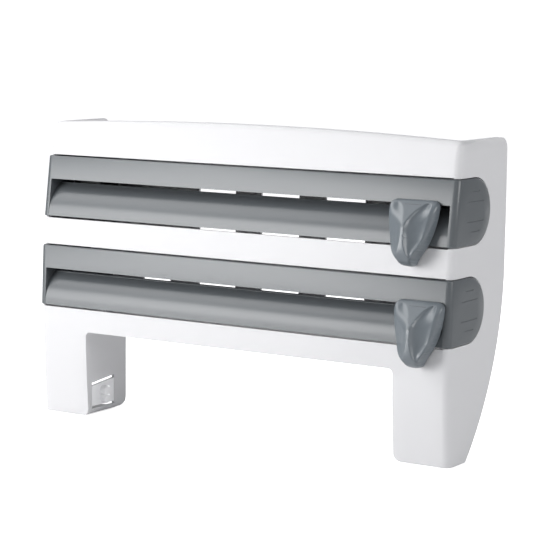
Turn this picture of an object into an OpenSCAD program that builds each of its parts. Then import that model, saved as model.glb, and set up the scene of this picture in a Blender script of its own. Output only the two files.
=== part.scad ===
// Cling film and towel dispenser for a kitchen wall or counter.
// A white housing with a spice shelf on top carries two pull-out film drawers, each with a sliding
// cutter, and holds a towel roll between two arms below.
// Origin: on the surface that the arms stand on, under the middle of the whole. +Z is up, the front
// looks to -Y and the back, at the wall, to +Y.

/* [Housing] */
// Width over the white side walls
body_w = 385; // [350:1:440]
// Depth from the wall to the furthest point of the bowed front
body_d = 89.6; // [88:0.1:100]
// Height of the side walls
body_h = 243; // [240:1:260]
// Rise of the arched front edge above the side walls
arch_rise = 5; // [1:0.5:10]
// Radius of the bowed front
front_r = 790; // [700:10:1000]
// Height at which the bowed front stands out furthest
front_apex_z = 80; // [60:1:100]
// Radius of the upright front corners
corner_r = 6; // [5:0.5:10]
// Wall thickness of the housing
wall = 2.5; // [2:0.1:3]
// Radius of the top back corner of the side walls
rear_corner_r = 10; // [4:0.5:16]
// Radius of the swept back edge of the arms
sweep_r = 220; // [200:5:260]
// Height at which that sweep begins
sweep_z = 150; // [140:1:160]

/* [Towel bay] */
// Width of the bay between the arms
bay_w = 290.4; // [270:0.2:300]
// Height of the lower drawer above the towel bay
bay_gap = 19.8; // [19:0.2:25]
// Radius of the bay's upper corners
bay_corner_r = 10; // [4:0.5:16]
// Distance from the wall to the back edge of the inner arm walls
arm_back = 34; // [30:0.5:38]
// Radius of the lower corners of the arms
foot_r = 6; // [3:0.5:8]
// Radius of the outer lower corners
heel_r = 3; // [2:0.5:5]

/* [Roll pegs] */
// Distance from the wall to the peg
peg_back = 66; // [62:0.5:68]
// Height of the middle between the two lobes of the peg
peg_z = 16; // [15:0.5:18]
// Radius of each lobe
peg_r = 4; // [3:0.1:4.5]
// Distance between the lobes
peg_pitch = 7; // [6:0.1:7.5]
// Length of the peg
peg_l = 5.5; // [4:0.5:8]
// Length of the springy tab that carries the peg
tab_l = 30; // [28:0.5:31]
// Height of the tab at its front end
tab_front_h = 17; // [16.5:0.1:18]
// Height of the tab at its back end
tab_back_h = 20; // [18:0.1:21]
// Width of the slits above and below the tab
slit = 1; // [0.6:0.1:1.2]
// Travel of the tab when a roll is sprung in
tab_travel = 3; // [2:0.5:4]

/* [Film drawers] */
// Height of a drawer front
film_h = 50; // [48:0.5:51]
// Height of the side walls above the upper drawer
top_h = 28; // [26:0.5:30]
// Distance between the drawers
film_pitch = 74; // [73:0.5:75]
// How far a drawer front stands proud of the housing's front
film_proud = 0.6; // [0.4:0.1:2]
// How far its ends stand proud of the side walls
ear_proud = 0.6; // [0.4:0.1:2]
// Length of the slide plates behind the round ear
slide_past = 6.5; // [5:0.5:8.5]
// Radius of the corner between drawer front and ear
ear_corner_r = 4.6; // [3:0.1:7]
// Thickness of the bowed drawer front
band_t = 2.8; // [2:0.1:3.2]
// Thickness of a drawer's ends, measured from the ear inward
end_t = 6.1; // [6:0.1:9]
// Distance from the slide plates to the back panel
slide_gap = 2.2; // [1.5:0.1:5]
// Gap round an ear in its cut-out
ear_gap = 0.6; // [0.4:0.1:1]
// Gap above and below a drawer front
front_gap = 1.2; // [0.8:0.1:1.6]
// Running gap of a drawer on its runners
run_gap = 0.3; // [0.2:0.05:0.4]
// Side gap of the slide plates
side_gap = 0.4; // [0.3:0.05:0.6]
// Thickness of the runners
runner_t = 2; // [1.6:0.1:2.4]
// Width of the runners
runner_w = 3; // [2.6:0.1:3.2]
// Travel of a drawer
drawer_travel = 45; // [30:1:46]

/* [Film outlet] */
// Height of the slot's middle above a drawer's underside
slot_h = 29; // [28.5:0.1:29.5]
// Height of the lower edge of the upper band
band_edge_h = 31; // [30.8:0.1:32]
// Height up to which the lower band is flush
lip_flat_h = 4.5; // [4:0.5:5]
// Outer radius of the rolled lip
lip_r = 29; // [28:0.5:30]
// How far behind the front the lip's edge lies
lip_back = 14; // [13:0.5:14.5]
// Thickness of the rolled lip
lip_t = 2; // [1.6:0.1:2.4]
// Thickness of the bead along the lip's edge
bead_d = 2.8; // [2.4:0.1:3]

/* [Roll trough and hubs] */
// Distance from the drawer front to the trough
trough_front = 16.5; // [16.4:0.1:19]
// Height of the roll's axis above the drawer's underside
roll_h = 26; // [25.5:0.1:27]
// Distance from the trough to the back panel
trough_gap = 1.5; // [1:0.1:3]
// Wall of the trough
trough_t = 2; // [1.6:0.1:2]
// Height of the trough's back edge
trough_back_h = 17; // [14:0.5:18]
// Height of the trough's front edge
trough_front_h = 24; // [20:0.5:24]
// Radius of a hub's axle
axle_r = 4; // [3:0.1:5]
// Thickness of the brackets that carry the axles
bracket_t = 6; // [4.5:0.1:6.5]
// Width of a bracket on each side of the axle
bracket_side = 3.5; // [2.5:0.1:4]
// Running gap of an axle in its bracket
axle_gap = 0.08; // [0.05:0.01:0.1]
// Radius of the hub's flange, as a share of the trough's
flange_share = 0.84; // [0.7:0.01:0.88]
// Thickness of the hub's flange
hub_flange_t = 2; // [1.5:0.1:3]
// Radius of the plug that enters the roll's core, as a share of the flange's
plug_share = 0.7; // [0.5:0.01:0.8]
// Length of a hub
hub_l = 33; // [30:0.5:36]
// Side gap of a hub
hub_gap = 0.3; // [0.2:0.05:0.5]

/* [Cutter] */
// Thickness of the cutter rail
rail_t = 1.8; // [1.4:0.1:2]
// Depth of the channel in which the carriage runs
rail_d = 6.4; // [6:0.1:7]
// Height of the channel's roof above the slot's middle
rail_h = 9.5; // [9:0.1:10]
// Height of the lower edge of the rail's back wall above the slot's middle
rail_skirt_h = 2.8; // [2:0.1:4]
// Width of the carriage
carriage_w = 18; // [14:0.5:22]
// Running gap of the carriage
carriage_gap = 0.35; // [0.2:0.05:0.4]
// Width of the stem through the slot
stem_w = 14; // [10:0.5:16]
// Thickness of the stem
stem_t = 2.4; // [2:0.1:2.6]
// Thickness of the blade
blade_t = 0.5; // [0.4:0.05:0.8]
// How far the blade hangs below the stem
blade_drop = 4.2; // [3:0.1:4.4]

/* [Cutter knob] */
// Distance from the middle of a parked knob to the outlet's end
knob_end = 18; // [17:0.5:24]
// How far the upper knob stands in from its parked place
upper_knob_in = 9.5; // [0:0.5:12]
// Width of the knob
knob_w = 40; // [36:0.5:44]
// Height of the knob's top above the slot's middle
knob_up = 5; // [4.5:0.5:7]
// Height of the knob below the slot's middle
knob_down = 45; // [42:0.5:48]
// How far the knob's ridge stands out
knob_d = 20; // [18:0.5:22]
// How far its side walls stand out
knob_side_d = 7; // [5:0.5:8]
// Gap between the knob and the drawer front
knob_gap = 0.8; // [0.5:0.1:1.2]
// Radius of the knob's upper corners
knob_corner_r = 5; // [3:0.5:7]
// Radius of the knob's tip
knob_tip_r = 9; // [7:0.5:10]
// Depth of the socket that takes the stem
socket_d = 6; // [4:0.5:7]
// Gap round the stem in that socket
socket_gap = 0.1; // [0.05:0.05:0.2]

/* [Shelf and back panel] */
// Depth of the shelf's floor below the top of the side walls
shelf_down = 23; // [21:0.5:24.5]
// Thickness of the shelf's floor
shelf_t = 2.2; // [1.8:0.1:2.6]
// Height of the shelf's back edge above its floor
shelf_lip_h = 12; // [6:0.5:13]
// Distance from the wall to the shelf
shelf_back = 3; // [2:0.5:6]
// Gap round the shelf
shelf_gap = 0.3; // [0.2:0.05:0.5]
// Gap in front of the shelf
shelf_front_gap = 1; // [0.8:0.1:1.5]
// Distance from the wall to the front of the back panel
panel_back = 20; // [19:0.1:20]
// Thickness of the back panel
panel_t = 2; // [1.6:0.1:2.4]
// Width of a window in the back panel
window_w = 36.5; // [30:0.5:42]
// Distance between windows
window_pitch = 61.5; // [58:0.5:62]
// Width of the outermost windows
window_end_w = 28; // [20:0.5:32]
// How far the lower windows reach below the lower drawer
window_low_down = 7; // [3:0.5:9]
// Height of the lower windows
window_low_h = 34; // [20:0.5:36]
// How far the upper windows reach below the upper drawer
window_high_down = 15; // [11:0.5:17]
// Height of the upper windows
window_high_h = 42; // [30:0.5:44]
// Radius of the windows' corners
window_r = 3; // [1:0.5:6]

/* [Fastening] */
// Sideways distance between the wall screws
wall_screw_w = 330; // [320:1:340]
// Upright distance between the wall screws
wall_screw_h = 77; // [70:0.5:80]
// Height of the lower wall screws above the lower drawer's underside
wall_screw_up = 37; // [35:0.5:41]
// Radius of the wall screw holes
wall_hole_r = 2.4; // [2:0.1:2.8]
// Radius of the bosses that stand on the wall
wall_boss_r = 6; // [5:0.5:8]
// Height of the lower panel screws below the lower drawer
panel_screw_low_down = 11; // [9:0.5:12]
// Height of the upper panel screws below the upper drawer
panel_screw_high_down = 12; // [10:0.5:14]
// Radius of the bosses for the panel screws
boss_r = 4; // [3:0.1:4.5]
// Length of these bosses
boss_l = 12; // [10:0.5:14]
// Radius of the panel screws
screw_r = 1.5; // [1.2:0.1:1.8]
// Radius of their heads
screw_head_r = 3; // [2.5:0.1:3.5]
// Height of their heads
screw_head_t = 1.6; // [1.2:0.1:2]
// Length of the panel screws
screw_l = 12; // [9:0.5:12.5]
// Gap round a screw
screw_gap = 0.05; // [0.03:0.01:0.1]

/* [Hidden] */

$fn = 64;
// Facets of the large bowed surfaces
bow_fn = 720;
bow_angle = 44;
// Overrun that all cuts share
cut = 1;

// Heights, from the top of the side walls down
upper_z = body_h - top_h - film_h;
lower_z = upper_z - film_pitch;
bay_h = lower_z - bay_gap;
shelf_z = body_h - shelf_down;
window_low_z = lower_z - window_low_down;
window_high_z = upper_z - window_high_down;
wall_screw_z = lower_z + wall_screw_up;
panel_screw_low_z = lower_z - panel_screw_low_down;
panel_screw_high_z = upper_z - panel_screw_high_down;
half_w = body_w / 2;
inner_w = half_w - wall;
ear_half = half_w + ear_proud;
outlet_half = ear_half - end_t;
knob_park = outlet_half - knob_end;
// Axis of the bowed front, behind the wall plane
bow_y = front_r - body_d;
film_bow_r = front_r + film_proud;
// Radius of the knob's lower end, seen from the side
knob_chin_r = knob_d - knob_side_d;
// The whole reaches from the wall to the lowest point of the lower knob's upright ridge
reach = knob_chin_r - face_y(lower_z) + (knob_gap + knob_side_d) * cos(lean(lower_z))
  + (knob_down - knob_chin_r + film_h / 2 - slot_h) * sin(lean(lower_z));
wall_y = reach / 2;
// Room for a roll between the upper drawer's outlet and the back panel
trough_r = (-face_y(upper_z) - panel_back - trough_front - trough_gap) / 2 - trough_t;
roll_back = trough_front + trough_t + trough_r;
hub_flange_r = trough_r * flange_share;
hub_r = hub_flange_r * plug_share;
slide_l = -face_y(upper_z) - panel_back - slide_gap;
ear_back = slide_l - slide_past - film_h / 2;
panel_screw_x = inner_w - boss_r - 2 * wall;

// A drawer with its underside at z touches the bow at its middle, and leans with it there
function lean(z) = asin((z + film_h / 2 - front_apex_z) / film_bow_r);
function face_y(z) = bow_y - film_bow_r * cos(lean(z));

// Whole object, moved from the wall plane to its origin
module placed() {
  translate([0, wall_y, 0]) children();
}

// Outline in depth and height, run along the width
module along_x(w) {
  translate([-w / 2, 0, 0]) rotate([90, 0, 90]) linear_extrude(w) children();
}

// Outline in width and height, run forward from the wall
module along_y(d, from = 0) {
  translate([0, -from, 0]) rotate([90, 0, 0]) linear_extrude(d) children();
}

// Solid with a bowed front and rounded upright corners
module bowed(r, half, round_r) {
  d = body_d + reach / 2;
  translate([0, bow_y, front_apex_z]) rotate([90, 0, 90]) rotate([0, 0, 180 - bow_angle / 2])
    rotate_extrude(angle = bow_angle, $fn = bow_fn) difference() {
      translate([r - d, -half]) square([d, 2 * half]);
      for (s = [0, 1]) mirror([0, s]) translate([r, half]) rotate(180) corner_off(round_r);
    }
}

// Frame on the middle of a drawer's face, with Z along the leaning face
module at_face(z) {
  translate([0, face_y(z), z + film_h / 2]) rotate([-lean(z), 0, 0]) children();
}

// The same frame at the slot
module at_slot(z, x = 0) {
  at_face(z) translate([x, 0, slot_h - film_h / 2]) children();
}

// Upright block with rounded front corners
module rounded_block(half, round_r, front, depth) {
  linear_extrude(2 * film_h, center = true) difference() {
    translate([-half, front]) square([2 * half, depth]);
    for (s = [0, 1]) mirror([s, 0]) translate([-half, front]) corner_off(round_r);
  }
}

// Frame at the underside of a drawer's face
module at_drawer(z) {
  translate([0, face_y(z), z]) children();
}

// Towel bay outline, grown on all sides by e
module bay(e) {
  w = bay_w / 2 + e;
  h = bay_h + e;
  r = bay_corner_r + e;
  translate([-w, -cut]) square([2 * w, h - r + cut]);
  translate([r - w, -cut]) square([2 * (w - r), h + cut]);
  for (s = [-1, 1]) translate([s * (w - r), h - r]) circle(r);
}

// Square corner piece that rounds an outer corner at the local origin
module corner_off(r) {
  difference() {
    translate([-cut, -cut]) square(r + cut);
    translate([r, r]) circle(r);
  }
}

// Front view of the housing: arched top, bay and rounded feet
module front_outline() {
  arch_r = (pow(half_w, 2) + pow(arch_rise, 2)) / (2 * arch_rise);
  difference() {
    intersection() {
      translate([-half_w, 0]) square([body_w, body_h + arch_rise]);
      translate([0, body_h + arch_rise - arch_r]) circle(arch_r, $fn = bow_fn * 2);
    }
    bay(0);
    for (s = [0, 1]) mirror([s, 0]) {
      translate([-half_w, 0]) corner_off(heel_r);
      translate([-bay_w / 2, 0]) mirror([1, 0]) corner_off(foot_r);
    }
  }
}

// Side view of the housing: upright back above, swept edge below
module side_outline() {
  difference() {
    union() {
      translate([-reach, sweep_z]) square([reach, body_h]);
      intersection() {
        translate([-reach, 0]) square([reach, sweep_z + cut]);
        translate([-sweep_r, sweep_z]) circle(sweep_r, $fn = bow_fn);
      }
    }
    translate([0, body_h]) rotate(180) corner_off(rear_corner_r);
    translate([-rear_corner_r, body_h]) square([rear_corner_r + cut, body_h]);
  }
}

// Ear of a drawer: a rectangle open to the front with a round back end
module ear_outline(gap) {
  r = film_h / 2;
  translate([ear_back, r]) circle(r + gap);
  translate([-reach, -gap]) square([reach + ear_back, film_h + 2 * gap]);
}

// Outline of the springy tab, grown by e
module tab_outline(e, ends) {
  x0 = -peg_back - tab_l / 2 - ends;
  x1 = -peg_back + tab_l / 2 + ends;
  low = peg_z - tab_front_h / 2 - e;
  polygon([[x0, low], [x1, low], [x1, low + tab_back_h + 2 * e], [x0, low + tab_front_h + 2 * e]]);
}

// Ledge on both side walls
module ledges(z, thick, y0, y1) {
  for (s = [-1, 1]) translate([s * (inner_w + cut - (runner_w + cut) / 2), 0, z])
    translate([-(runner_w + cut) / 2, y0, 0]) cube([runner_w + cut, y1 - y0, thick]);
}

module panel_bosses() {
  for (s = [-1, 1], z = [panel_screw_low_z, panel_screw_high_z]) translate([s * panel_screw_x, 0, z]) {
    translate([0, -panel_back, 0]) rotate([90, 0, 0]) cylinder(r = boss_r, h = boss_l);
    translate([min(0, s * (inner_w + cut - panel_screw_x)), -panel_back - boss_l, -boss_r / 2])
      cube([inner_w + cut - panel_screw_x, boss_l, boss_r]);
  }
}

module housing_shell() {
  difference() {
    intersection() {
      bowed(front_r, half_w, corner_r);
      along_x(body_w) side_outline();
      along_y(reach) front_outline();
    }
    intersection() {
      bowed(front_r - wall, inner_w, corner_r - wall);
      along_y(2 * reach, -reach) difference() {
        translate([-inner_w, wall]) square([2 * inner_w, 2 * body_h]);
        bay(wall);
      }
    }
    // The inner arm walls and the bay's roof end short of the wall
    translate([-bay_w / 2 - 2 * wall, -arm_back, -cut]) cube([bay_w + 4 * wall, reach, bay_h + wall + 2 * cut]);
  }
}

// Inner arm walls and soles, which reach further back than the sweep does at the foot
module arm_walls() {
  sole_back = arm_back + bay_corner_r;
  heel_back = sweep_r - sqrt(pow(sweep_r, 2) - pow(sweep_z, 2));
  for (s = [0, 1]) mirror([s, 0, 0]) {
    translate([bay_w / 2 + wall / 2, 0, 0]) along_x(wall) difference() {
      translate([-body_d + 2 * bay_corner_r, 0]) square([body_d - 2 * bay_corner_r - arm_back, bay_h - bay_corner_r]);
      translate([-arm_back, 0]) mirror([1, 0]) corner_off(bay_corner_r);
    }
    linear_extrude(wall) polygon([[bay_w / 2, -sole_back], [half_w - wall, -heel_back],
      [half_w - wall, -body_d + 2 * bay_corner_r], [bay_w / 2, -body_d + 2 * bay_corner_r]]);
  }
}

module housing() {
  color("white") placed() {
    difference() {
      union() {
        housing_shell();
        difference() {
          arm_walls();
          along_y(reach) for (s = [0, 1]) mirror([s, 0])
            translate([-bay_w / 2, 0]) mirror([1, 0]) corner_off(foot_r);
        }
        intersection() {
          bowed(front_r - wall / 2, half_w - wall / 2, corner_r - wall / 2);
          union() {
            for (z = [lower_z, upper_z]) {
              ledges(z - run_gap - runner_t, runner_t, -body_d, -panel_back - wall);
            }
            ledges(lower_z + film_h + run_gap, runner_t, -body_d, -panel_back - wall);
            ledges(upper_z + film_h + run_gap, shelf_z - shelf_t - upper_z - film_h - run_gap,
              -body_d, -shelf_back);
          }
        }
        panel_bosses();
      }
      for (z = [lower_z, upper_z]) at_drawer(z) {
        along_x(body_w + 2 * cut) ear_outline(ear_gap);
        translate([2 * wall - half_w, -reach, -front_gap])
          cube([body_w - 4 * wall, reach + corner_r, film_h + 2 * front_gap]);
      }
      for (s = [-1, 1]) translate([s * (bay_w / 2 + wall / 2), 0, 0]) along_x(2 * wall)
        tab_outline(slit, run_gap);
      for (s = [-1, 1], z = [panel_screw_low_z, panel_screw_high_z])
        translate([s * panel_screw_x, cut - panel_back, z]) rotate([90, 0, 0])
          cylinder(r = screw_r + screw_gap, h = boss_l);
    }
  }
}

module shelf_tray() {
  color("white") placed() intersection() {
    bowed(front_r - wall - shelf_front_gap, inner_w - shelf_gap, corner_r - wall);
    translate([-half_w, -shelf_back, shelf_z - shelf_t]) rotate([90, 0, 0]) {
      cube([body_w, shelf_t, reach]);
      cube([body_w, shelf_t + shelf_lip_h, shelf_t]);
    }
  }
}

// Window of the back panel, with rounded corners
module window(x, z, w, h) {
  translate([x - w / 2, z + window_r]) square([w, h - 2 * window_r]);
  translate([x - w / 2 + window_r, z]) square([w - 2 * window_r, h]);
  for (a = [-1, 1], b = [-1, 1])
    translate([x + a * (w / 2 - window_r), z + h / 2 + b * (h / 2 - window_r)]) circle(window_r);
}

module rear_panel() {
  low = bay_h + wall + shelf_gap;
  top = shelf_z - shelf_t - shelf_gap;
  color("gainsboro") placed() difference() {
    union() {
      intersection() {
        along_y(panel_t, panel_back - panel_t) difference() {
          translate([shelf_gap - inner_w, low]) square([2 * (inner_w - shelf_gap), top - low]);
          for (i = [-1 : 1]) {
            window(i * window_pitch, window_low_z, window_w, window_low_h);
            window(i * window_pitch, window_high_z, window_w, window_high_h);
          }
          for (s = [-2, 2]) window(s * window_pitch, window_low_z, window_end_w, window_low_h);
          // Clear of the ledge that carries the shelf
          for (s = [-1, 1]) translate([s * inner_w - runner_w - shelf_gap, top - film_h / 10])
            square([2 * (runner_w + shelf_gap), film_h]);
        }
        along_x(body_w) side_outline();
      }
      for (s = [-1, 1], k = [0, 1]) translate([s * wall_screw_w / 2, 0, wall_screw_z + k * wall_screw_h])
        rotate([90, 0, 0]) cylinder(r = wall_boss_r, h = panel_back - panel_t / 2);
    }
    for (s = [-1, 1], k = [0, 1]) translate([s * wall_screw_w / 2, cut, wall_screw_z + k * wall_screw_h])
      rotate([90, 0, 0]) cylinder(r = wall_hole_r, h = panel_back + 2 * cut);
    for (s = [-1, 1], z = [panel_screw_low_z, panel_screw_high_z])
      translate([s * panel_screw_x, cut - panel_back + panel_t, z]) rotate([90, 0, 0])
        cylinder(r = screw_r + screw_gap, h = panel_t + 2 * cut);
  }
}

module rear_panel_screws() {
  color("silver") placed() for (s = [-1, 1], z = [panel_screw_low_z, panel_screw_high_z])
    translate([s * panel_screw_x, panel_t - panel_back, z]) {
      rotate([90, 0, 0]) cylinder(r = screw_r, h = screw_l);
      rotate([-90, 0, 0]) cylinder(r = screw_head_r, h = screw_head_t);
    }
}

// Springy tab with its two-lobed peg, for the right arm
module peg_tab() {
  translate([bay_w / 2 + wall / 2, 0, 0]) along_x(wall) tab_outline(0, 0);
  for (s = [-1, 1]) translate([bay_w / 2 + wall / 2, -peg_back, peg_z + s * peg_pitch / 2])
    rotate([0, -90, 0]) {
      cylinder(r = peg_r, h = peg_l + wall / 2 - peg_r / 4);
      translate([0, 0, peg_l + wall / 2 - peg_r / 4]) cylinder(r1 = peg_r, r2 = peg_r * 3 / 4, h = peg_r / 4);
    }
}

module right_roll_peg() {
  color("white") placed() peg_tab();
}

module left_roll_peg() {
  color("white") placed() mirror([1, 0, 0]) peg_tab();
}

// Front with its ends, before the outlet's lip goes in
module drawer_band(z) {
  difference() {
    intersection() {
      at_face(z) difference() {
        rounded_block(ear_half, ear_corner_r, 0, slide_l + film_h / 2);
        rounded_block(outlet_half, end_t / 4, band_t, 2 * slide_l);
      }
      at_drawer(z) along_x(2 * ear_half) ear_outline(0);
    }
    at_slot(z) translate([-outlet_half, -band_t, lip_flat_h - slot_h])
      cube([2 * outlet_half, 3 * band_t, band_edge_h - lip_flat_h]);
  }
}

// Rolled lip over which the film leaves
module drawer_lip(z) {
  low = lip_flat_h - slot_h;
  at_slot(z) along_x(2 * outlet_half + end_t / 2) translate([lip_r + lip_set, low]) {
    intersection() {
      difference() {
        circle(lip_r);
        circle(lip_r - lip_t);
      }
      translate([-lip_r, -band_t / 2]) square([lip_back, 2 * lip_r]);
    }
    translate([lip_back - lip_r, sqrt(pow(lip_r - lip_t / 2, 2) - pow(lip_r - lip_back, 2))])
      circle(bead_d / 2);
  }
}

// Bracket for an axle, open at the top so that a roll drops in with its hubs
module bracket_outline() {
  w = axle_r + bracket_side;
  difference() {
    translate([-w, -2 * w]) square([2 * w, 2 * w + axle_r]);
    circle(axle_r + axle_gap);
    translate([-axle_r - axle_gap, 0]) square([2 * (axle_r + axle_gap), w]);
  }
}

module drawer_front(z) {
  plate_x = outlet_half + plate_in;
  plate_w = inner_w - side_gap - plate_x;
  color("darkgray") placed() difference() {
    union() {
      drawer_band(z);
      drawer_lip(z);
      at_drawer(z) for (s = [-1, 1]) {
        translate([s * (plate_x + plate_w / 2) - plate_w / 2, lip_back + bead_d / 2, plate_in])
          cube([plate_w, slide_l - lip_back - bead_d / 2, film_h - 2 * plate_in]);
        translate([s * (outlet_half + (end_t / 4 - bracket_t) / 2), roll_back, roll_h])
          along_x(bracket_t + end_t / 4) bracket_outline();
      }
    }
    // Fine grip lines across each ear
    at_drawer(z) for (s = [-1, 1], k = [-1, 1], j = [1, 2])
      translate([s * ear_half, ear_back, film_h / 2 + k * j * groove_pitch])
        cube([2 * groove_d, groove_l / j, groove_w], center = true);
  }
}
// Step between the flush lower band and the lip
lip_set = 0.15;
// Inset of the slide plates in the ends
plate_in = 0.3;
groove_d = 0.4;
groove_w = 0.5;
groove_l = 26;
groove_pitch = 7.5;

module roll_trough(z) {
  color("gray") placed() at_drawer(z) along_x(2 * outlet_half) translate([roll_back, roll_h]) intersection() {
    difference() {
      circle(trough_r + trough_t);
      circle(trough_r);
    }
    union() {
      translate([-2 * trough_r, -2 * trough_r]) square([2 * trough_r, 2 * trough_r + trough_front_h - roll_h]);
      translate([0, -2 * trough_r]) square([2 * trough_r, 2 * trough_r + trough_back_h - roll_h]);
    }
  }
}

// Hub: an axle in its bracket, a flange and a plug for the roll's core
module hub(z, side) {
  plug_l = hub_l - bracket_t - hub_r / 6;
  color("dimgray") placed() at_drawer(z) translate([side * (outlet_half - hub_gap), roll_back, roll_h])
    rotate([0, -side * 90, 0]) {
      cylinder(r = axle_r, h = bracket_t + hub_flange_t / 2);
      translate([0, 0, bracket_t]) {
        cylinder(r = hub_flange_r, h = hub_flange_t);
        cylinder(r = hub_r, h = plug_l);
        translate([0, 0, plug_l]) cylinder(r1 = hub_r, r2 = hub_r * 5 / 6, h = hub_r / 6);
      }
    }
}

module cutter_rail(z) {
  back = band_t + rail_d;
  color("dimgray") placed() at_slot(z) along_x(2 * outlet_half - end_t / 2) {
    translate([band_t, rail_h]) square([rail_d + rail_t, rail_t]);
    translate([back, rail_skirt_h]) square([rail_t, rail_h - rail_skirt_h + cut / 2]);
  }
}

// Where a knob stands in the photo: the lower one parked, the upper one a little in
function knob_x(z) = z == upper_z ? knob_park - upper_knob_in : knob_park;

module cutter_carriage(z) {
  d = rail_d - 2 * carriage_gap;
  color("dimgray") placed() at_slot(z, knob_x(z)) difference() {
    union() {
      translate([-carriage_w / 2, band_t + carriage_gap, -stem_t / 2])
        cube([carriage_w, d, rail_h - carriage_gap + stem_t / 2]);
      translate([-stem_w / 2, -knob_gap - socket_d, -stem_t / 2])
        cube([stem_w, knob_gap + socket_d + band_t + rail_d / 2, stem_t]);
    }
    translate([-blade_t / 2 - screw_gap, band_t + rail_d / 4, -stem_t])
      cube([blade_t + 2 * screw_gap, rail_d / 2, stem_t + rail_h / 2]);
  }
}

module cutter_blade(z) {
  y0 = band_t + rail_d / 4 + screw_gap;
  w = rail_d / 2 - 2 * screw_gap;
  top = rail_h / 2 - screw_gap;
  low = -stem_t / 2 - screw_gap;
  color("silver") placed() at_slot(z, knob_x(z)) along_x(blade_t)
    polygon([[y0, top], [y0, low - blade_drop * 2 / 3], [y0 + w / 4, low - blade_drop * 2 / 3],
      [y0 + w, low], [y0 + w, top]]);
}

// Front view of the knob: flat top, sides that draw in to a round tip
module knob_outline() {
  w = knob_w / 2;
  side_shares = [[1, 0.12], [0.94, 0.5], [0.8, 0.74]];
  h = knob_up + knob_down;
  hull() {
    for (s = [-1, 1]) translate([s * (w - knob_corner_r), knob_up - knob_corner_r]) circle(knob_corner_r);
    for (s = [-1, 1]) translate([s * (w * side_shares[1][0] - knob_corner_r), knob_up - h * side_shares[1][1]])
      circle(knob_corner_r);
    for (s = [-1, 1]) translate([s * (w * side_shares[2][0] - knob_corner_r), knob_up - h * side_shares[2][1]])
      circle(knob_corner_r);
    translate([0, knob_tip_r - knob_down]) circle(knob_tip_r);
  }
}

// Side view of the knob: a sloping top, an upright ridge and a drawn-in tip
module knob_profile() {
  hull() {
    translate([-knob_gap - wall, knob_up - wall]) square(wall);
    translate([wall - knob_gap - knob_d, knob_up - knob_d - wall]) circle(wall);
    translate([-knob_gap - knob_side_d, knob_chin_r - knob_down]) circle(knob_chin_r);
    translate([-knob_gap - wall, -knob_down]) square(wall);
  }
}

module cutter_knob(z) {
  color("slategray") placed() at_slot(z, knob_x(z)) difference() {
    intersection() {
      along_y(knob_d + 2 * knob_gap) knob_outline();
      along_x(knob_w) knob_profile();
    }
    // Flanks that fall away from the ridge
    for (s = [0, 1]) mirror([s, 0, 0]) translate([knob_ridge_w / 2, -knob_gap - knob_d, -2 * knob_down])
      rotate(knob_flank) translate([0, -knob_d, 0]) cube([2 * knob_w, knob_d, 4 * knob_down]);
    // Thumb scoops on both flanks
    for (s = [-1, 1]) translate([s * scoop_x, -knob_gap - knob_d, knob_up - knob_down / 2])
      rotate([0, s * scoop_lean, 0]) rotate_extrude() scoop_half();
    translate([-stem_w / 2 - socket_gap, -knob_gap - socket_d - socket_gap, -stem_t / 2 - socket_gap])
      cube([stem_w + 2 * socket_gap, socket_d + knob_gap + cut, stem_t + 2 * socket_gap]);
  }
}
knob_ridge_w = 3;
knob_flank = atan2(knob_d - knob_side_d, (knob_w - knob_ridge_w) / 2);
scoop_r = 11;
scoop_l = 42;
scoop_x = 15.5;
scoop_lean = 7;

// Half of a long lens, turned about its length
module scoop_half() {
  arc_r = (pow(scoop_l / 2, 2) + pow(scoop_r, 2)) / (2 * scoop_r);
  intersection() {
    translate([scoop_r - arc_r, 0]) circle(arc_r, $fn = 128);
    translate([0, -scoop_l]) square([scoop_r, 2 * scoop_l]);
  }
}

module upper_drawer_front() { drawer_front(upper_z); }
module upper_roll_trough() { roll_trough(upper_z); }
module upper_left_hub() { hub(upper_z, -1); }
module upper_right_hub() { hub(upper_z, 1); }
module upper_cutter_rail() { cutter_rail(upper_z); }
module upper_cutter_carriage() { cutter_carriage(upper_z); }
module upper_cutter_blade() { cutter_blade(upper_z); }
module upper_cutter_knob() { cutter_knob(upper_z); }
module lower_drawer_front() { drawer_front(lower_z); }
module lower_roll_trough() { roll_trough(lower_z); }
module lower_left_hub() { hub(lower_z, -1); }
module lower_right_hub() { hub(lower_z, 1); }
module lower_cutter_rail() { cutter_rail(lower_z); }
module lower_cutter_carriage() { cutter_carriage(lower_z); }
module lower_cutter_blade() { cutter_blade(lower_z); }
module lower_cutter_knob() { cutter_knob(lower_z); }

housing();
shelf_tray();
rear_panel();
rear_panel_screws();
left_roll_peg();
right_roll_peg();
upper_drawer_front();
upper_roll_trough();
upper_left_hub();
upper_right_hub();
upper_cutter_rail();
upper_cutter_carriage();
upper_cutter_blade();
upper_cutter_knob();
lower_drawer_front();
lower_roll_trough();
lower_left_hub();
lower_right_hub();
lower_cutter_rail();
lower_cutter_carriage();
lower_cutter_blade();
lower_cutter_knob();
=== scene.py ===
# Looks of a cling film and towel dispenser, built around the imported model.
import bmesh
import bpy
from math import acos, asin, cos, pi, radians, sin, sqrt, tan
from mathutils import Matrix, Vector


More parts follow.
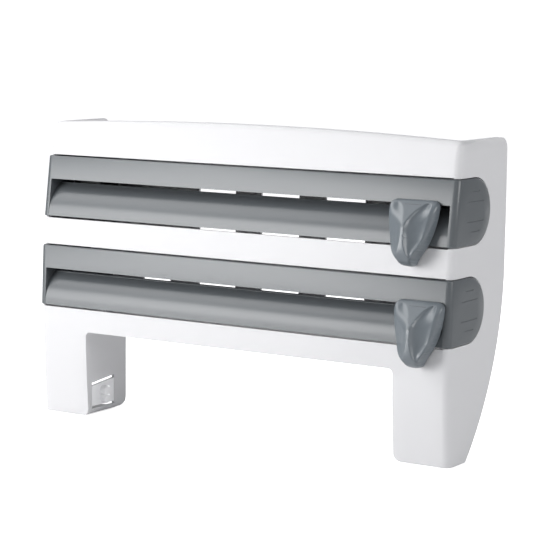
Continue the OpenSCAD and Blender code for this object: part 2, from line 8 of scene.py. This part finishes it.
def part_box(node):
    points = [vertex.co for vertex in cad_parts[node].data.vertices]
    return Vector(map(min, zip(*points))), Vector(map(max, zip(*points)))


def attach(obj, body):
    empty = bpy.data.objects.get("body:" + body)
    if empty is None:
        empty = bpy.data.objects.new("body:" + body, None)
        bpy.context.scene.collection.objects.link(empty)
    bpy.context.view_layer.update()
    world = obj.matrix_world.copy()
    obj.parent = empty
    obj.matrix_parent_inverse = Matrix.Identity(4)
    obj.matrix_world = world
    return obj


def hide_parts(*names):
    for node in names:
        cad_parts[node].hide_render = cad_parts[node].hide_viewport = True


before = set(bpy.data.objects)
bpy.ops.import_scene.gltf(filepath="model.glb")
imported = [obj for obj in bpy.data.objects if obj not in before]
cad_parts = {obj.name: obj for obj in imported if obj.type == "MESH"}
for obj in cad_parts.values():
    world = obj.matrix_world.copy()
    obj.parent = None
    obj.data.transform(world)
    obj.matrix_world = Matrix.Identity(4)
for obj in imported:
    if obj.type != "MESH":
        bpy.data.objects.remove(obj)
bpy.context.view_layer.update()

# Camera, floor and light.
# The camera stands to the right of the front and a little above it. The floor is plain white. Four large
# soft lights stand at the left front, above the front, to the right and low behind, under a dim sky.
wall_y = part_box("rear_panel")[1].y
camera_place = (0.8709, -1.3930 + wall_y, 0.3405)
camera_turn, camera_dip, camera_roll = radians(32.761), radians(7.376), radians(0.542)
camera = bpy.data.objects.new("camera", bpy.data.cameras.new("camera"))
bpy.context.scene.collection.objects.link(camera)
camera.data.lens = 136.05
camera.data.sensor_width = 36
camera.matrix_world = (Matrix.Translation(camera_place) @ Matrix.Rotation(camera_turn, 4, "Z")
                       @ Matrix.Rotation(pi / 2 - camera_dip, 4, "X") @ Matrix.Rotation(camera_roll, 4, "Z"))
bpy.context.scene.camera = camera


def wire(tree, *pairs):
    """Links each output to the input that follows it."""
    for source, target in pairs:
        tree.links.new(source, target)


floor_reach, under_soles = 6, 0.0003
floor_mesh = bmesh.new()
bmesh.ops.create_grid(floor_mesh, x_segments=8, y_segments=8, size=floor_reach)
bmesh.ops.translate(floor_mesh, vec=(0, 0, -under_soles), verts=floor_mesh.verts)
floor_data = bpy.data.meshes.new("floor")
floor_mesh.to_mesh(floor_data)
floor = bpy.data.objects.new("floor", floor_data)
bpy.context.scene.collection.objects.link(floor)
floor_paint = bpy.data.materials.new("white_floor")
floor_paint.use_nodes = True
nodes = floor_paint.node_tree.nodes
satin = nodes["Principled BSDF"]
satin.inputs["Base Color"].default_value = (0.86, 0.86, 0.865, 1)
satin.inputs["Roughness"].default_value = 0.32
glow = nodes.new("ShaderNodeEmission")
glow.inputs["Strength"].default_value = 0.8
direct = nodes.new("ShaderNodeLightPath")
only_seen = nodes.new("ShaderNodeMixShader")
lit = nodes.new("ShaderNodeAddShader")
wire(floor_paint.node_tree,
     (direct.outputs["Is Camera Ray"], only_seen.inputs["Fac"]),
     (glow.outputs["Emission"], only_seen.inputs[2]),
     (satin.outputs["BSDF"], lit.inputs[0]),
     (only_seen.outputs["Shader"], lit.inputs[1]),
     (lit.outputs["Shader"], nodes["Material Output"].inputs["Surface"]))
floor.data.materials.append(floor_paint)

world = bpy.data.worlds.new("studio")
bpy.context.scene.world = world
world.use_nodes = True
nodes = world.node_tree.nodes
sky = nodes["Background"]
sky.inputs["Color"].default_value = (0.95, 0.97, 1, 1)
sky.inputs["Strength"].default_value = 0.3
backdrop = nodes.new("ShaderNodeBackground")
backdrop.inputs["Color"].default_value = (1, 1, 1, 1)
backdrop.inputs["Strength"].default_value = 1.05
seen = nodes.new("ShaderNodeLightPath")
either = nodes.new("ShaderNodeMixShader")
wire(world.node_tree,
     (seen.outputs["Is Camera Ray"], either.inputs["Fac"]),
     (sky.outputs["Background"], either.inputs[1]),
     (backdrop.outputs["Background"], either.inputs[2]),
     (either.outputs["Shader"], nodes["World Output"].inputs["Surface"]))


def soft_light(name, place, aim, width, height, watts):
    """Rectangular studio light that looks from place to aim."""
    lamp = bpy.data.lights.new(name, "AREA")
    lamp.shape = "RECTANGLE"
    lamp.size, lamp.size_y, lamp.energy = width, height, watts
    holder = bpy.data.objects.new(name, lamp)
    holder.location = place
    holder.visible_camera = False
    holder.rotation_euler = (Vector(aim) - Vector(place)).to_track_quat("-Z", "Y").to_euler()
    bpy.context.scene.collection.objects.link(holder)


soft_light("key_light", (-0.98, -1.5, 0.42), (0, 0, 0.12), 0.98, 0.92, 24.5)
soft_light("top_light", (-1.0, -0.45, 1.3), (0, -0.45, 0.2), 2.1, 0.8, 19)
soft_light("side_light", (2.2, -0.2, 0.9), (0.1, 0, 0.15), 1.0, 1.0, 20)
soft_light("back_light", (-0.05, 1.5, 0.3), (-0.1, 0, 0.05), 0.6, 0.8, 14)
bpy.context.scene.view_settings.view_transform = "Standard"

# Housing: one satin white moulding, open at the back, with a bowed front, an arched and rounded top edge,
# two hollow arms and cut-outs into which the drawers slide. Runners and screw bosses are moulded on inside.
# Sizes are in millimetres, and sharp, the least angle of a hard edge, in radians.
half_w, depth, side_h, wall = 192.5, 89.6, 243, 2.5
bow_axis_y, bow_axis_z, bow_r = 700.4, 80, 790
arch_rise = 5
arch_r = (half_w ** 2 + arch_rise ** 2) / (2 * arch_rise)
bay_half, bay_top, bay_corner = 145.2, 71.2, 4
front_corner, back_corner, arm_corner = 6, 10, 6
top_round, sole_round, bay_round = 4.5, 3, 2.4
drawer_low = {"upper": 165, "lower": 91}
film_h, slot_h, slot_half = 50, 29, 187
face_r = bow_r + 0.6
ear_y, ear_r, ear_gap = 30, 25, 0.6
near_front, sharp = -80, 1.2
wide, tall = Vector((1, 0, 0)), Vector((0, 0, 1))


def bow_at(z, inset=0):
    """Depth of the bowed front at height z, in millimetres from the wall."""
    return bow_axis_y - sqrt((bow_r - inset) ** 2 - (z - bow_axis_z) ** 2)


def lean_of(z):
    """How far the face of a drawer with its underside at z leans back."""
    return asin((z + film_h / 2 - bow_axis_z) / face_r)


def face_of(z):
    """Depth of a drawer's face at its middle."""
    return bow_axis_y - face_r * cos(lean_of(z))


def round_back(f, z, r):
    """Half circle behind a drawer's ear, as depths and heights from the underside to the top."""
    turns = [radians(i * 7.5) for i in range(25)]
    return [(f + ear_y + r * sin(a), z + film_h / 2 - r * cos(a)) for a in turns]


def span(s, a, b):
    """Places a and b across the width on side s, the lower one first."""
    return sorted((s * a, s * b))


def box_in(bm, low, high):
    """Adds a box between two corners."""
    made = bmesh.ops.create_cube(bm, size=1)["verts"]
    bmesh.ops.scale(bm, vec=[b - a for a, b in zip(low, high)], verts=made)
    bmesh.ops.translate(bm, vec=[(a + b) / 2 for a, b in zip(low, high)], verts=made)


def points_of(geometry):
    return [g for g in geometry if isinstance(g, bmesh.types.BMVert)]


def side_prism(points, x0, x1):
    """Prism along the width on an outline in depth and height."""
    bm = bmesh.new()
    face = bm.faces.new([bm.verts.new((x0, y, z)) for y, z in points])
    swept = bmesh.ops.extrude_face_region(bm, geom=[face])["geom"]
    bmesh.ops.translate(bm, vec=(x1 - x0, 0, 0), verts=points_of(swept))
    bmesh.ops.recalc_face_normals(bm, faces=bm.faces)
    return bm


def cut_across(bm, way, places):
    """Cuts the mesh by planes square to a direction, so that it can bend there."""
    for p in places:
        bmesh.ops.bisect_plane(bm, geom=bm.verts[:] + bm.edges[:] + bm.faces[:], dist=1e-5,
                               plane_co=way * p, plane_no=way)


def edges_in(bm, inside):
    """Edges with both ends in a region."""
    return [e for e in bm.edges if all(inside(v.co) for v in e.verts)]


def runs(edge, way, least=1):
    """True for an edge that reaches further than least in a direction."""
    return abs((edge.verts[0].co - edge.verts[1].co).dot(way)) > least


def rims(edge, up):
    """True where one of the two faces at an edge looks up, or down where up is -1."""
    return len(edge.link_faces) == 2 and sum(up * face.normal.z > 0.9 for face in edge.link_faces) == 1


def round_off(bm, edges, radius, segments):
    if edges:
        bmesh.ops.bevel(bm, geom=edges, offset=radius, offset_type="OFFSET", segments=segments,
                        profile=0.5, affect="EDGES", material=-1, clamp_overlap=True)


def solid_of(name, bm):
    """Turns a mesh in the making into an object."""
    data = bpy.data.meshes.new(name)
    bm.to_mesh(data)
    bm.free()
    made = bpy.data.objects.new(name, data)
    bpy.context.scene.collection.objects.link(made)
    return made


def moulding(name, bm, crease=35):
    """Makes an object of a mesh in millimetres from the wall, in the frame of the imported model."""
    bmesh.ops.remove_doubles(bm, verts=bm.verts, dist=1e-4)
    bmesh.ops.scale(bm, vec=(0.001, 0.001, 0.001), verts=bm.verts)
    bmesh.ops.translate(bm, vec=(0, wall_y, 0), verts=bm.verts)
    bm.normal_update()
    for face in bm.faces:
        face.smooth = True
    for edge in bm.edges:
        edge.smooth = len(edge.link_faces) == 2 and edge.calc_face_angle(4) < radians(crease)
    return solid_of(name, bm)


def carve(bm, *tools):
    """Cuts a mesh by others, all in millimetres from the wall, and returns the result."""
    solid, *cutters = [solid_of("blank", part) for part in (bm, *tools)]
    for cutter in cutters:
        cut = solid.modifiers.new("cut", "BOOLEAN")
        cut.operation, cut.solver, cut.object = "DIFFERENCE", "EXACT", cutter
    bpy.context.view_layer.update()
    result = bpy.data.meshes.new_from_object(solid.evaluated_get(bpy.context.evaluated_depsgraph_get()))
    carved = bmesh.new()
    carved.from_mesh(result)
    for old in (solid, *cutters):
        bpy.data.objects.remove(old)
    bmesh.ops.remove_doubles(carved, verts=carved.verts, dist=1e-3)
    bmesh.ops.dissolve_degenerate(carved, edges=carved.edges, dist=1e-4)
    carved.normal_update()
    return carved


def bay_room(half, top, back, corner):
    """The room between the arms, with rounded upper corners."""
    room = bmesh.new()
    box_in(room, (-half, -120, -20), (half, back, top))
    round_off(room, [e for e in edges_in(room, lambda p: p.z > top - 1) if not runs(e, wide)], corner, 6)
    return room


shell = bmesh.new()
box_in(shell, (-half_w, -depth, 0), (half_w, 0, side_h))
upright = [e for e in edges_in(shell, lambda p: p.y < near_front) if runs(e, tall)]
round_off(shell, upright, front_corner, 7)
cut_across(shell, wide, range(-180, 181, 12))
cut_across(shell, tall, range(9, 235, 9))
for v in shell.verts:
    if v.co.z > side_h - 1:
        v.co.z += arch_rise - arch_r + sqrt(arch_r ** 2 - v.co.x ** 2)
    if v.co.y < near_front:
        v.co.y += bow_at(v.co.z) + depth
shell = carve(shell, bay_room(bay_half, bay_top, 30, bay_corner))

# Inner lower corners of the arms, top back corners, top rim, rims of the soles, then the bay's front edges
round_off(shell, edges_in(shell, lambda p: abs(abs(p.x) - bay_half) < 0.01 and p.z < 0.01), arm_corner, 6)
round_off(shell, edges_in(shell, lambda p: p.y > -0.01 and p.z > side_h - 0.1), back_corner, 6)
shell.normal_update()
top_edges = edges_in(shell, lambda p: p.y < 0.1 - back_corner and p.z > side_h - 3)
round_off(shell, [e for e in top_edges if rims(e, 1)], top_round, 5)
shell.normal_update()
sole_edges = edges_in(shell, lambda p: p.z < 0.01 and p.y < -0.1 and abs(p.x) > bay_half + 0.1)
round_off(shell, [e for e in sole_edges if rims(e, -1)], sole_round, 4)
shell.normal_update()
bay_edges = edges_in(shell, lambda p: abs(p.x) < bay_half + arm_corner + 0.1 and p.z < bay_top + 0.1
                     and p.y < near_front)
round_off(shell, [e for e in bay_edges if e.calc_face_angle(0) > sharp], bay_round, 4)

# The wall is 2.3 mm thicker along the top rim
rim_low, rim_run, rim_extra = 232, 8, 2.3
hollow = bmesh.new()
box_in(hollow, (-half_w + wall, -depth + wall, wall), (half_w - wall, 30, 300))
upright = [e for e in edges_in(hollow, lambda p: p.y < near_front) if runs(e, tall)]
round_off(hollow, upright, front_corner - wall, 6)
cut_across(hollow, tall, [*range(9, 226, 9), rim_low, rim_low + rim_run])
for v in hollow.verts:
    inset = wall + rim_extra * min(max((v.co.z - rim_low) / rim_run, 0), 1)
    v.co.x += (wall - inset) * (1 if v.co.x > 0 else -1)
    if v.co.y < near_front:
        v.co.y += bow_at(v.co.z, inset) + depth - wall
hollow = carve(hollow, bay_room(bay_half + wall, bay_top + wall, 60, bay_corner + wall))
shell = carve(shell, hollow)

# Openings: the back of the bay, the side walls swept forward to the soles, the arms' inner walls rounded at
# the heel, the soles' back halves, the windows of the peg strips and the drawers' cut-outs
behind_bay = bmesh.new()
box_in(behind_bay, (-bay_half - 5, -34, -10), (bay_half + 5, 30, bay_top + 3.5))
sweep_r, sweep_top = 220, 150
sweep = [(-sweep_r + sweep_r * cos(a), sweep_top - sweep_r * sin(a))
         for a in [radians(i * 2) for i in range(24)]]
sweep += [(sweep[-1][0], -20), (40, -20), (40, sweep_top)]
heel_y, heel_r = -44, 10
heel = [(heel_y + heel_r * cos(a), heel_r - heel_r * sin(a))
        for a in [radians(i * 11.25) for i in range(9)]]
heel += [(heel_y, -10), (-20, -10), (-20, heel_r)]
open_sole = [(147.72, heel_y), (189.95, -59.07), (189.95, 40), (147.72, 40)]
strip_window = [(-81.3, 5.2), (-50.7, 5.2), (-50.7, 30.2), (-81.3, 27.2)]
tools = [behind_bay]
for s in (-1, 1):
    tools.append(side_prism(sweep, *span(s, 189.9, 200)))
    tools.append(side_prism(heel, *span(s, 140, 147.75)))
    sole = bmesh.new()
    base = sole.faces.new([sole.verts.new((s * x, y, -5)) for x, y in open_sole])
    swept = bmesh.ops.extrude_face_region(sole, geom=[base])["geom"]
    bmesh.ops.translate(sole, vec=(0, 0, 8), verts=points_of(swept))
    bmesh.ops.recalc_face_normals(sole, faces=sole.faces)
    tools.append(sole)
    tools.append(side_prism(strip_window, *span(s, 143.5, 149.5)))
for z in drawer_low.values():
    f = face_of(z)
    ear_room = [(-130, z - ear_gap)] + round_back(f, z, ear_r + ear_gap) + [(-130, z + film_h + ear_gap)]
    tools.append(side_prism(ear_room, -200, 200))
    front_gap = bmesh.new()
    box_in(front_gap, (-half_w + 5, -130, z - 1.2), (half_w - 5, f + 10, z + film_h + 1.2))
    tools.append(front_gap)
shell = carve(shell, *tools)

# Drawer runners, and screw bosses on a rib each, all let into the side walls
into_wall = half_w - wall + 0.6
runners = ((88.7, 2, -22.5), (162.7, 2, -22.5), (141.3, 2, -22.5), (215.3, 2.5, -3))
boss_x, boss_y, boss_r, boss_long = 181, -26, 4, 12
for s in (-1, 1):
    x = span(s, slot_half, into_wall)
    for z, thick, back in runners:
        box_in(shell, (x[0], bow_at(z, 3), z), (x[1], back, z + thick))
    x = span(s, boss_x + 2, into_wall)
    for z in (80, 153):
        level_out = Matrix.Translation((s * boss_x, boss_y, z)) @ Matrix.Rotation(pi / 2, 4, "X")
        bmesh.ops.create_cone(shell, cap_ends=True, segments=24, radius1=boss_r, radius2=boss_r,
                              depth=boss_long, matrix=level_out)
        box_in(shell, (x[0], boss_y - 6, z - 2), (x[1], boss_y + 5.8, z + 2))
housing = moulding("housing_moulding", shell)
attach(housing, "housing")
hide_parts("housing")

grain = bpy.data.node_groups.new("moulded_surface", "ShaderNodeTree")
for name in ("Colour", "Mottle", "Roughness", "Roughness Spread", "Grain Scale", "Grain Depth"):
    kind = "NodeSocketColor" if name == "Colour" else "NodeSocketFloat"
    grain.interface.new_socket(name, in_out="INPUT", socket_type=kind)
for name, kind in (("Colour", "Color"), ("Roughness", "Float"), ("Normal", "Vector")):
    grain.interface.new_socket(name, in_out="OUTPUT", socket_type="NodeSocket" + kind)
inside, outside = grain.nodes.new("NodeGroupInput"), grain.nodes.new("NodeGroupOutput")
where = grain.nodes.new("ShaderNodeTexCoord")
cloud = grain.nodes.new("ShaderNodeTexNoise")
cloud.inputs["Scale"].default_value = 14
cloud.inputs["Detail"].default_value = 4
fine = grain.nodes.new("ShaderNodeTexNoise")
fine.inputs["Detail"].default_value = 2
swing = grain.nodes.new("ShaderNodeMapRange")
swing.inputs["To Min"].default_value, swing.inputs["To Max"].default_value = -1, 1
shade = grain.nodes.new("ShaderNodeMath")
shade.operation = "MULTIPLY_ADD"
shade.inputs[2].default_value = 1
tint = grain.nodes.new("ShaderNodeVectorMath")
tint.operation = "SCALE"
rough = grain.nodes.new("ShaderNodeMath")
rough.operation = "MULTIPLY_ADD"
bump = grain.nodes.new("ShaderNodeBump")
bump.inputs["Strength"].default_value = 1
wire(grain,
     (where.outputs["Object"], cloud.inputs["Vector"]),
     (where.outputs["Object"], fine.inputs["Vector"]),
     (inside.outputs["Grain Scale"], fine.inputs["Scale"]),
     (cloud.outputs["Fac"], swing.inputs["Value"]),
     (swing.outputs["Result"], shade.inputs[0]),
     (inside.outputs["Mottle"], shade.inputs[1]),
     (inside.outputs["Colour"], tint.inputs[0]),
     (shade.outputs[0], tint.inputs["Scale"]),
     (swing.outputs["Result"], rough.inputs[0]),
     (inside.outputs["Roughness Spread"], rough.inputs[1]),
     (inside.outputs["Roughness"], rough.inputs[2]),
     (fine.outputs["Fac"], bump.inputs["Height"]),
     (inside.outputs["Grain Depth"], bump.inputs["Distance"]),
     (tint.outputs[0], outside.inputs["Colour"]),
     (rough.outputs[0], outside.inputs["Roughness"]),
     (bump.outputs["Normal"], outside.inputs["Normal"]))


def plastic(name, colour, mottle, roughness, spread, scale, depth, coat=0.0):
    """Moulded plastic: cloudy pigment, uneven gloss and the fine grain of the mould."""
    made = bpy.data.materials.new(name)
    made.use_nodes = True
    surface = made.node_tree.nodes.new("ShaderNodeGroup")
    surface.node_tree = grain
    for key, value in (("Colour", (*colour, 1)), ("Mottle", mottle), ("Roughness", roughness),
                       ("Roughness Spread", spread), ("Grain Scale", scale), ("Grain Depth", depth)):
        surface.inputs[key].default_value = value
    look = made.node_tree.nodes["Principled BSDF"]
    look.inputs["IOR"].default_value = 1.5
    look.inputs["Coat Weight"].default_value = coat
    look.inputs["Coat Roughness"].default_value = 0.15
    wire(made.node_tree,
         (surface.outputs["Colour"], look.inputs["Base Color"]),
         (surface.outputs["Roughness"], look.inputs["Roughness"]),
         (surface.outputs["Normal"], look.inputs["Normal"]))
    return made


def paint(target, material):
    target.data.materials.clear()
    target.data.materials.append(material)


white = plastic("white_moulding", (0.645, 0.643, 0.655), 0.012, 0.48, 0.03, 900, 0.00002)
paint(housing, white)

# Shelf tray and back panel: white mouldings that drop in and are screwed on from behind.
# Both are plain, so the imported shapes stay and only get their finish; the screws are bright steel.
paint(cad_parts["shelf_tray"], white)
paint(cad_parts["rear_panel"], white)
steel = plastic("bright_steel", (0.62, 0.62, 0.63), 0.05, 0.28, 0.06, 1500, 0.00001)
steel.node_tree.nodes["Principled BSDF"].inputs["Metallic"].default_value = 1
paint(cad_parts["rear_panel_screws"], steel)

# Roll pegs: the springy strip of each arm's inner wall, with its two-lobed peg.
# The imported shape is right, so it only gets a white finish, lighter than the housing's: the extra
# lightness is painted light, as the pegs are of the same white plastic.
peg_white_painted_light = plastic("peg_moulding_painted_light", (0.93, 0.93, 0.94), 0.012, 0.42, 0.03, 900, 0.00002)
for node in ("left_roll_peg", "right_roll_peg"):
    paint(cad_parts[node], peg_white_painted_light)

# Drawer fronts: satin gray mouldings with a flat upper band, a slot, a lip that rolls back from the flush
# lower band, D-shaped ears with fine grip lines, and slide plates and axle brackets behind.
gray = plastic("gray_moulding", (0.1, 0.11, 0.118), 0.02, 0.28, 0.012, 700, 0.00002)
ear_half, ear_corner, ear_edge = 193.1, 4.6, 0.9
front_wall, band_low, band_edge, past = 2.8, 31, 0.7, 8
lip_half, lip_back, lip_low, lip_flat, lip_r, lip_wall, bead_r = 187.4, 0.15, 0.4, 4.5, 29, 2, 1.4
lip_rolled = {"upper": 15.2, "lower": 16.6}
plate_in, plate_out, bracket_in, bracket_out = 187.3, 189.6, 181, 188.75
axle_y, axle_h, seat_r = 38.755, 26, 4.08


def front_at(z, h, back=0):
    """Depth of a drawer's leaning face, or of a plane behind it, at height h over its underside z."""
    return face_of(z) + (h - film_h / 2) * tan(lean_of(z)) + back / cos(lean_of(z))


def join_in(body, part):
    """Adds the mesh of a part to a body."""
    extra = bpy.data.meshes.new("extra")
    part.to_mesh(extra)
    part.free()
    body.from_mesh(extra)


for level, z in drawer_low.items():
    lean, f = lean_of(z), face_of(z)
    outline = [(front_at(z, 0), z)] + round_back(f, z, ear_r) + [(front_at(z, film_h), z + film_h)]
    body = side_prism(outline, -ear_half, ear_half)
    upright = [e for e in edges_in(body, lambda p: p.y < f + 10) if runs(e, tall, 40)]
    round_off(body, upright, ear_corner, 7)
    body.normal_update()
    round_off(body, [e for e in body.edges if e.calc_face_angle(0) > sharp], ear_edge, 3)
    low, high = z - past, z + film_h + past
    inner = side_prism([(front_at(z, -past, front_wall), low), (80, low), (80, high),
                        (front_at(z, film_h + past, front_wall), high)], -slot_half, slot_half)
    slot = side_prism([(front_at(z, h, back), z + h) for h, back in
                       ((-past, -5), (-past, 6), (band_low, 6), (band_low, -5))], -slot_half, slot_half)
    lines = bmesh.new()
    for s in (-1, 1):
        x = span(s, ear_half - 0.4, ear_half + 1.4)
        for rise, reach in ((-7.5, 13), (-15, 6.5), (7.5, 13), (15, 6.5)):
            h = z + film_h / 2 + rise
            box_in(lines, (x[0], f + ear_y - reach, h - 0.25), (x[1], f + ear_y + reach, h + 0.25))
    body = carve(body, inner, slot, lines)
    under_band = edges_in(body, lambda p: abs(p.z - z - band_low) < 0.5
                          and p.y < front_at(z, band_low) + 0.4)
    round_off(body, [e for e in under_band if runs(e, wide, 300)], band_edge, 3)

    lip = bmesh.new()
    rolled = lip_rolled[level]
    top_of_flat = lip.verts.new((-lip_half, lip_back, lip_flat))
    bmesh.ops.spin(lip, geom=[top_of_flat], cent=(0, lip_back + lip_r, lip_flat), axis=(1, 0, 0),
                   angle=-acos(rolled / lip_r), steps=20)
    lip.edges.new((lip.verts.new((-lip_half, lip_back, lip_low)), top_of_flat))
    swept = bmesh.ops.extrude_edge_only(lip, edges=lip.edges[:])["geom"]
    bmesh.ops.translate(lip, vec=(2 * lip_half, 0, 0), verts=points_of(swept))
    bmesh.ops.recalc_face_normals(lip, faces=lip.faces)
    if sum(face.normal.y for face in lip.faces) > 0:
        bmesh.ops.reverse_faces(lip, faces=lip.faces)
    bmesh.ops.solidify(lip, geom=lip.faces[:], thickness=lip_wall)
    bead_h = lip_flat + sqrt((lip_r - lip_wall / 2) ** 2 - rolled ** 2)
    along = Matrix.Translation((0, lip_back + lip_r - rolled, bead_h)) @ Matrix.Rotation(pi / 2, 4, "Y")
    bmesh.ops.create_cone(lip, cap_ends=True, segments=20, radius1=bead_r, radius2=bead_r,
                          depth=2 * lip_half, matrix=along)
    bmesh.ops.rotate(lip, cent=(0, 0, film_h / 2), matrix=Matrix.Rotation(-lean, 3, "X"), verts=lip.verts)
    bmesh.ops.translate(lip, vec=(0, f, z), verts=lip.verts)
    join_in(body, lip)

    for s in (-1, 1):
        x = span(s, plate_in, plate_out)
        box_in(body, (x[0], f + 15.4, z + 0.3), (x[1], f + 61.5, z + film_h - 0.3))
        x = span(s, bracket_in, bracket_out)
        bracket, seat = bmesh.new(), bmesh.new()
        box_in(bracket, (x[0], f + 31.25, z + 11), (x[1], f + 46.25, z + 30))
        box_in(seat, (x[0] - 2, f + axle_y - seat_r, z + axle_h - seat_r),
               (x[1] + 2, f + axle_y + seat_r, z + 40))
        seat_low = [e for e in edges_in(seat, lambda p: p.z < z + axle_h) if runs(e, wide)]
        round_off(seat, seat_low, seat_r - 0.01, 8)
        join_in(body, carve(bracket, seat))
    drawer = moulding(f"{level}_drawer_moulding", body)
    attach(drawer, f"{level}_drawer")
    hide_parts(f"{level}_drawer_front")
    paint(drawer, gray)

# Roll troughs and hubs inside the drawers, in dark brownish and near-black colours that are painted shade of
# the drawers' shadowed insides. The trough cradles the film roll, and a hub on an axle of its own carries
# each end of it. The imported shapes stay.
# Near-black plastic whose colour is painted shade for the shadowed ends of the drawers, on the hubs.
shade_black = plastic("dark_moulding_painted_shade", (0.035, 0.037, 0.04), 0.05, 0.5, 0.05, 600, 0.00004)
# Dark brownish plastic whose colour is painted shade: it darkens the trough and the rail where the drawers'
# insides lie in shadow.
shade_brown = plastic("trough_moulding_painted_shade", (0.07, 0.062, 0.064), 0.05, 0.5, 0.05, 600, 0.00004)
for level in drawer_low:
    paint(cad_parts[f"{level}_roll_trough"], shade_brown)
    paint(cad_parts[f"{level}_left_hub"], shade_black)
    paint(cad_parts[f"{level}_right_hub"], shade_black)

# Cutters: a rail behind the upper band guides a carriage, whose stem comes out through the slot to the knob
# and carries a steel blade underneath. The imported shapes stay.
for level in drawer_low:
    # The rail's brownish colour is painted shade of the drawer's inside.
    paint(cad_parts[f"{level}_cutter_rail"], shade_brown)
    # The carriage gets the same near-black material as the hubs.
    paint(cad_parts[f"{level}_cutter_carriage"], shade_black)
    paint(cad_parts[f"{level}_cutter_blade"], steel)

# Cutter knobs: dark gray grips with a flat top, a sloping three-cornered facet, an upright ridge, a drawn-in
# tip and a thumb scoop on both flanks. They are pushed onto the stems.
slate = plastic("knob_moulding", (0.138, 0.158, 0.175), 0.03, 0.33, 0.04, 800, 0.00003, coat=0.15)
knob_place = {"upper": 159.5, "lower": 169}
knob_top, knob_tip, knob_half, knob_gap, knob_rim, edge_r = 5, -45, 20, 0.8, 2.4, 2
tip_top, tip_half = -41, 5.4
flanks = [(tip_top, tip_half), (-38, 7.1), (-35, 9.0), (-31, 11.6), (-26, 14.1), (-20, 16.4), (-13, 18.3),
          (-6, 19.5), (0, knob_half)]
facet_slope, ridge_out, ridge_r, chin_out, chin_r, chin_top = 0.9, 19.9, 4.4, 4, 16, -29
scoop_mid, scoop_reach, scoop_wide = -18, 20.5, 6.7


def knob_half_width(h):
    """Half the knob's width at height h over the slot's middle, from its tip to its top."""
    if h > 0:
        return knob_half - knob_top + sqrt(max(knob_top ** 2 - h ** 2, 0))
    if h < tip_top:
        return tip_half * sqrt(max(1 - ((h - tip_top) / (tip_top - knob_tip)) ** 2, 0))
    for (h0, w0), (h1, w1) in zip(flanks, flanks[1:]):
        if h <= h1:
            return w0 + (w1 - w0) * (h - h0) / (h1 - h0)


def softer(a, b, r):
    """The lower of two surfaces, with the edge where they meet rounded."""
    k = max(r - abs(a - b), 0) / r
    return min(a, b) - k * k * r / 4


def knob_height(x, h):
    """How far the knob stands out at a place on its front."""
    facet = knob_rim + (knob_top - h) * facet_slope
    slope = 0.86 - 0.03 * max(-26 - h, 0)
    flank = ridge_out + ridge_r - sqrt((slope * x) ** 2 + ridge_r ** 2)
    chin = chin_out + sqrt(max(chin_r ** 2 - (min(h, chin_top) - chin_top) ** 2, 0))
    out = softer(softer(facet, flank, 4), chin, 2.4)
    t = (h - scoop_mid) / scoop_reach
    if abs(t) < 1:
        middle = 7.3 + (0.0083 * (h + 24) ** 2 if h > -24 else 0.07 * (h + 24))
        s = (abs(x) - middle) / (scoop_wide * sqrt(1 - t * t) * (1 + 0.22 * t))
        if abs(s) < 1:
            steep, gentle, deep = (0.7, 1.1, 3.6) if x > 0 else (1.5, 1.5, 1)
            out -= deep * (1 - t * t) ** 0.4 * (1 + s) ** steep * (1 - s) ** gentle
    return out


knob_mid, knob_reach = (knob_top + knob_tip) / 2, (knob_top - knob_tip) / 2
heights = [knob_top - 2 * knob_reach * i / 160 for i in range(161)]
edge_points = [Vector((knob_half_width(h) * s, h)) for s in (-1, 1) for h in heights]
edge_points += [Vector(((knob_half - knob_top) * i / 20, knob_top)) for i in range(-20, 21)]
for level, z in drawer_low.items():
    knob = bmesh.new()
    bmesh.ops.create_grid(knob, x_segments=76, y_segments=100, size=1)
    for v in knob.verts:
        w, bent = v.co.y, sin(v.co.y * pi / 2)
        h = knob_mid + knob_reach * (0.72 * w + 0.28 * bent if w < 0 else 0.55 * w + 0.45 * bent)
        h = max(min(h, knob_top), knob_tip)
        v.co = (sin(v.co.x * pi / 2) * knob_half_width(h), h, 0)
    for v in knob.verts:
        x, h = v.co.x, v.co.y
        out = max(knob_height(x, h), knob_rim)
        if abs(x) > knob_half_width(h) - 2 * edge_r or not tip_top < h < edge_r:
            near = min((Vector((x, h)) - point).length_squared for point in edge_points) ** 0.5
            if near < edge_r:
                out -= edge_r - sqrt(max(edge_r ** 2 - (edge_r - near) ** 2, 0))
        v.co = (x, -out - knob_gap, h)
    skirt = bmesh.ops.extrude_edge_only(knob, edges=[e for e in knob.edges if e.is_boundary])["geom"]
    for v in points_of(skirt):
        v.co.y = -knob_gap
    bmesh.ops.contextual_create(knob, geom=[g for g in skirt if isinstance(g, bmesh.types.BMEdge)])
    bmesh.ops.remove_doubles(knob, verts=knob.verts, dist=0.01)
    bmesh.ops.recalc_face_normals(knob, faces=knob.faces)
    bmesh.ops.translate(knob, vec=(knob_place[level], 0, slot_h - film_h / 2), verts=knob.verts)
    bmesh.ops.rotate(knob, cent=(0, 0, 0), matrix=Matrix.Rotation(-lean_of(z), 3, "X"), verts=knob.verts)
    bmesh.ops.translate(knob, vec=(0, face_of(z), z + film_h / 2), verts=knob.verts)
    grip = moulding(f"{level}_knob_moulding", knob, crease=50)
    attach(grip, f"{level}_cutter")
    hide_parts(f"{level}_cutter_knob")
    paint(grip, slate)
